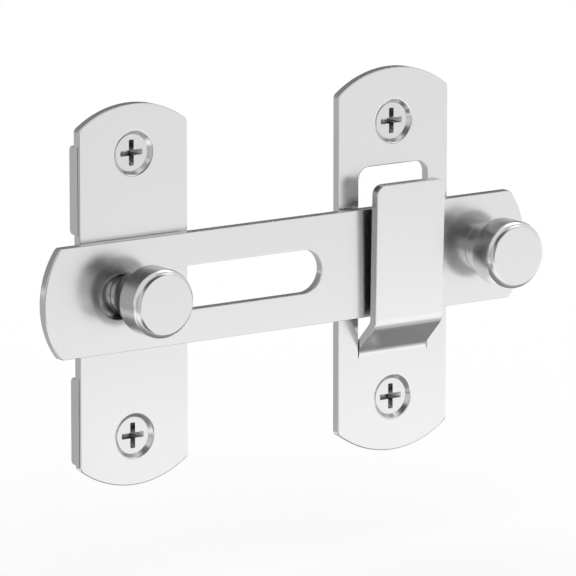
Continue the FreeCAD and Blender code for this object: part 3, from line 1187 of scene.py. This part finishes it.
@dataclass
class BarAssembly:
    """Slotted latch bar with its handle.

    Args:
        end_rise: Rise of the bar's end arcs.
        slot_radius: Radius of the slot's ends.
        slot_play: How far the slot's left end lies left of the pivot.
        slot_steps: How many sides a quarter of the slot's ends has.
        retract_clearance: Room beside the hook when the bar is slid back.
        screw_radius: Radius of the handle screw's shank.
        screw_head_radius: Radius of its head.
        fit: Room round the screw in the bar.
    """

    end_rise: float = 3.75 * MM
    slot_radius: float = 4.4 * MM
    slot_play: float = 3.35 * MM
    slot_steps: int = 24
    retract_clearance: float = 0.9 * MM
    screw_radius: float = 2 * MM
    screw_head_radius: float = 3.6 * MM
    fit: float = 0.02 * MM

    def bar(self) -> Piece:
        """Makes the bar.

        Returns:
            The bar, with its slot and the handle's countersunk hole.
        """
        low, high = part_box("latch_bar")
        strip = Sheet(high.z - low.z, high.x - low.x, self.end_rise, low.y, high.y - low.y)
        bar = strip.blank("latch_bar_sheet")
        placed(bar, level_centre("latch_bar"), math.pi / 2)
        pivot = centre_of("pivot_knob")
        hook_left = centre_of("catch_plate").x - CatchAssembly.hook_width / 2
        travel = high.x - hook_left + self.retract_clearance
        reach = Vector((self.slot_radius, 2 * OVERCUT, self.slot_radius))
        slot = block("slot", Vector((pivot.x - self.slot_play, low.y, pivot.z)) - reach,
                     Vector((pivot.x + travel, high.y, pivot.z)) + reach)
        with editing(slot):
            pick(Kind.EDGES, lambda edge: runs_along(edge, Y_AXIS))
            bevel(self.slot_radius, self.slot_steps)
        combine(bar, slot)
        handle = centre_of("handle_knob")
        shank, head = self.screw_radius + self.fit, self.screw_head_radius + self.fit
        combine(bar, turned("handle_hole", [
            (shank, low.y - reach.y),
            (shank, high.y - (head - shank)),
            (head + reach.y, high.y + reach.y),
        ], handle.x, handle.z))
        strip.break_edges(bar)
        return bar

    def screw(self) -> Piece:
        """Makes the handle's screw, with its head flush in the bar's back.

        Returns:
            The screw.
        """
        low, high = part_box("handle_screw")
        axis = centre_of("handle_screw")
        screw = turned("handle_screw_turned", [
            (self.screw_head_radius, high.y),
            (self.screw_radius, high.y - (self.screw_head_radius - self.screw_radius)),
            (self.screw_radius, low.y),
        ], axis.x, axis.z)
        CrossRecess().cut(screw, axis.x, high.y, axis.z, -1)
        smooth(screw)
        return screw

    def build(self) -> None:
        """Builds and dresses the bar, its handle and the handle's screw."""
        finish_piece(self.bar(), SHEET_LEVEL, "bar", "latch_bar")
        finish_piece(Knob().build("handle_knob"), TURNED_STEEL, "bar", "handle_knob")
        finish_piece(self.screw(), PIVOT_STEEL, "bar", "handle_screw")


@dataclass(frozen=True)
class Card:
    """Studio card that only reflections show: a softbox, or a grey or black flag.

    Args:
        name: The card's name.
        centre: Its middle, in millimetres.
        facing: The way its face looks.
        half_size: Half its width and half its height, in millimetres.
        level_start: Brightness where the card's own X is lowest, where 1 is the backdrop's white.
        level_end: Brightness where its own X is highest.
        feather: Share of its half size over which it fades out.
    """

    name: str
    centre: tuple[float, float, float]
    facing: tuple[float, float, float]
    half_size: tuple[float, float]
    level_start: float
    level_end: float
    feather: float = 0.3

    def material(self) -> bpy.types.Material:
        """Builds the card's glow.

        Returns:
            The material, clear towards the card's rim.
        """
        material = bpy.data.materials.new(f"Card_{self.name}")
        material.cycles.emission_sampling = "NONE"
        tree = empty_tree(material)
        place = add_node(tree, "TexCoord").outputs["Object"]
        across = add_node(tree, "SeparateXYZ", None, {"Vector": place}).outputs["X"]
        level = add_node(tree, "MapRange", {
            "From Min": -1.0, "From Max": 1.0,
            "To Min": self.level_start, "To Max": self.level_end}, {"Value": across})
        glow = add_node(tree, "Emission", None, {"Strength": level})
        reach = add_node(tree, "VectorMath", {"operation": "LENGTH"}, {0: place}).outputs["Value"]
        fade = add_node(tree, "MapRange", {
            "interpolation_type": "SMOOTHSTEP", "From Min": 1 - self.feather, "From Max": 1.0},
            {"Value": reach})
        clear = add_node(tree, "BsdfTransparent")
        both = add_node(tree, "MixShader", None, {0: fade, 1: glow, 2: clear})
        add_node(tree, "OutputMaterial", None, {"Surface": both})
        return material

    def build(self) -> Piece:
        """Adds the card.

        Returns:
            The card, hidden from the camera and from all light but reflections.
        """
        bpy.ops.object.select_all(action="DESELECT")
        bpy.ops.mesh.primitive_plane_add(size=2)
        card = bpy.context.active_object
        card.name = self.name
        card.location = Vector(self.centre) * MM
        card.rotation_mode = "QUATERNION"
        card.rotation_quaternion = Vector(self.facing).to_track_quat("Z", "Y")
        card.scale = (self.half_size[0] * MM, self.half_size[1] * MM, 1)
        card.data.materials.append(self.material())
        card.visible_camera = False
        card.visible_diffuse = False
        card.visible_transmission = False
        card.visible_shadow = False
        return card


CARDS = (
    # Grey flag laid behind the latch, which its left edges mirror
    Card("flag_behind_low", (-300, 530, -59), (0, 0, 1), (1100, 500), 0.5, 0.63, 0.04),
    # Grey flag upright behind the latch, darker to the right, for the upper edges
    Card("flag_behind", (0, 600, 420), (0, -1, 0), (1100, 480), 0.5, 0.07, 0.06),
    # Dark flag laid under the latch, which the hook's slope and the knobs' lower rims mirror
    Card("flag_under", (25, -3, -58.5), (0, 0, 1), (170, 48), 0.31, 0.31, 0.5),
    # Narrow light over that flag, for the light line along the hook's upper bend
    Card("strip_under", (66, -24, -58), (0, 0, 1), (20, 3.5), 1.1, 1.1, 0.3),
    # Darker flag laid before the left knob, for the face's side of its lower rim
    Card("flag_before", (-50, -70, -58), (0, 0, 1), (44, 36), 0.14, 0.14, 0.25),
    # Grey flag laid at the left, which the knobs' left rims and the countersinks mirror
    Card("flag_left_low", (-360, -150, -58.8), (0, 0, 1), (250, 180), 0.55, 0.66, 0.1),
    # Upright flag at the front left, darker to the right, which the necks and the knobs' sides mirror
    Card("flag_front_left", (-130, -180, 20), (0, 1, 0), (150, 100), 0.08, 1.2, 0.15),
    # Black flag over it, which the knobs' upper left rims mirror
    Card("flag_over_left", (-55, -178, 205), (0, 1, 0), (175, 140), 0.06, 0.06, 0.2),
    # Grey flag at the front right, for the face's side of the knobs' upper rims
    Card("flag_front_right", (230, -236, 190), (0, 1, 0), (110, 90), 0.45, 0.45, 0.3),
    # Dark flag over the camera's side, which the plates' upper edges mirror
    Card("flag_over_front", (250, -100, 402), (0, 0, -1), (260, 50), 0.13, 0.13, 0.2),
    # Two softboxes over the latch, which whiten the top of the knobs' rims
    Card("softbox_over", (260, 75, 400), (0, 0, -1), (180, 120), 2.6, 2.6, 0.1),
    Card("softbox_over_front", (310, -225, 399), (0, 0, -1), (170, 80), 2.1, 2.1, 0.1),
    # Grey flag at the left, which the knobs' left rims mirror
    Card("flag_left", (-500, -260, -20), (0.85, 0.5, 0), (330, 330), 0.45, 0.56, 0.4),
)


@dataclass
class Studio:
    """Pale floor, white surroundings, studio cards and the camera.

    Args:
        yaw: How far the camera looks right of straight in.
        pitch: How far it looks down.
        distance: From the camera to its target.
        target_x: The target's place along X.
        target_z: The target's height.
        focal_length: The lens, in millimetres.
        sensor: The sensor's width, in millimetres.
        sight: How far the camera sees.
        floor_z: The floor's height.
        floor_size: Length of the floor's sides.
        floor_near: How far before the latch the floor begins to dim in reflections.
        floor_far: How far before it the floor is dimmest.
        bright: The floor's brightness at the latch, in reflections.
        dim: The floor's brightness where it is dimmest.
        shade: Share of the floor's light that the latch can shade.
    """

    yaw: float = math.radians(34.367)
    pitch: float = math.radians(11.707)
    distance: float = 1281.28 * MM
    target_x: float = 7.787 * MM
    target_z: float = -3.702 * MM
    focal_length: float = 403.58
    sensor: float = 36.0
    sight: float = 20.0
    floor_z: float = -60 * MM
    floor_size: float = 12.0
    floor_near: float = 20 * MM
    floor_far: float = 340 * MM
    bright: float = 1.44
    dim: float = 1.09
    shade: float = 0.6

    def camera(self) -> None:
        """Adds the camera at the photograph's angle."""
        data = bpy.data.cameras.new("camera")
        data.lens = self.focal_length
        data.sensor_width = self.sensor
        data.clip_end = self.sight
        camera = bpy.data.objects.new("camera", data)
        bpy.context.scene.collection.objects.link(camera)
        ahead = Vector((math.sin(self.yaw) * math.cos(self.pitch),
                        math.cos(self.yaw) * math.cos(self.pitch), -math.sin(self.pitch)))
        camera.location = Vector((self.target_x, 0, self.target_z)) - ahead * self.distance
        camera.rotation_mode = "QUATERNION"
        camera.rotation_quaternion = ahead.to_track_quat("-Z", "Y")
        bpy.context.scene.camera = camera

    def world(self) -> None:
        """Surrounds the scene with plain white, which is its light as well."""
        world = bpy.data.worlds.new("studio")
        bpy.context.scene.world = world
        tree = empty_tree(world)
        background = add_node(tree, "Background", {"Color": (1, 1, 1, 1), "Strength": 1.0})
        add_node(tree, "OutputWorld", None, {"Surface": background})

    def floor_material(self) -> bpy.types.Material:
        """Builds the floor: white to the camera, with the latch's faint shadow.

        Returns:
            The material. In reflections it glows brightest near the latch: a painted pool of light, as
            under a lamp.
        """
        material = bpy.data.materials.new("Floor_White")
        material.cycles.emission_sampling = "NONE"
        tree = empty_tree(material)
        place = add_node(tree, "TexCoord").outputs["Object"]
        ahead = add_node(tree, "SeparateXYZ", None, {"Vector": place}).outputs["Y"]
        # Painted pool of light: the floor glows brighter near the latch, but only in reflections
        painted_pool = add_node(tree, "MapRange", {
            "interpolation_type": "SMOOTHSTEP", "From Min": -self.floor_near, "From Max": -self.floor_far,
            "To Min": self.bright - self.shade, "To Max": self.dim - self.shade}, {"Value": ahead})
        path = add_node(tree, "LightPath")
        glossy = add_node(tree, "Math", {"operation": "MAXIMUM"},
                          {0: path.outputs["Is Glossy Ray"], 1: path.outputs["Is Transmission Ray"]})
        mirrored = add_node(tree, "Math", {"operation": "MULTIPLY"}, {0: glossy, 1: painted_pool})
        seen = add_node(tree, "Math", {"operation": "MULTIPLY_ADD", 1: 1 - self.shade},
                        {0: path.outputs["Is Camera Ray"], 2: mirrored})
        glow = add_node(tree, "Emission", None, {"Strength": seen})
        matt = add_node(tree, "BsdfDiffuse", {"Color": (self.shade, self.shade, self.shade, 1)})
        both = add_node(tree, "AddShader", None, {0: glow, 1: matt})
        add_node(tree, "OutputMaterial", None, {"Surface": both})
        return material

    def floor(self) -> None:
        """Adds the pale floor."""
        floor = added("floor", bpy.ops.mesh.primitive_plane_add,
                      size=self.floor_size, location=(0, 0, self.floor_z))
        floor.data.materials.append(self.floor_material())

    def build(self) -> None:
        """Sets the stage."""
        bpy.context.scene.view_settings.view_transform = "Standard"
        self.camera()
        self.world()
        self.floor()
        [card.build() for card in CARDS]


def main() -> None:
    """Builds the latch round its frame."""
    logging.basicConfig(level=logging.INFO, format="%(name)s: %(message)s")
    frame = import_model()
    log.info("frame with %d nodes", len(frame["nodes"]))
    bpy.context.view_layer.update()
    for assembly in (BaseAssembly(), CatchAssembly(), WallFixings(), BarAssembly(), Studio()):
        assembly.build()


if __name__ == "__main__":
    main()
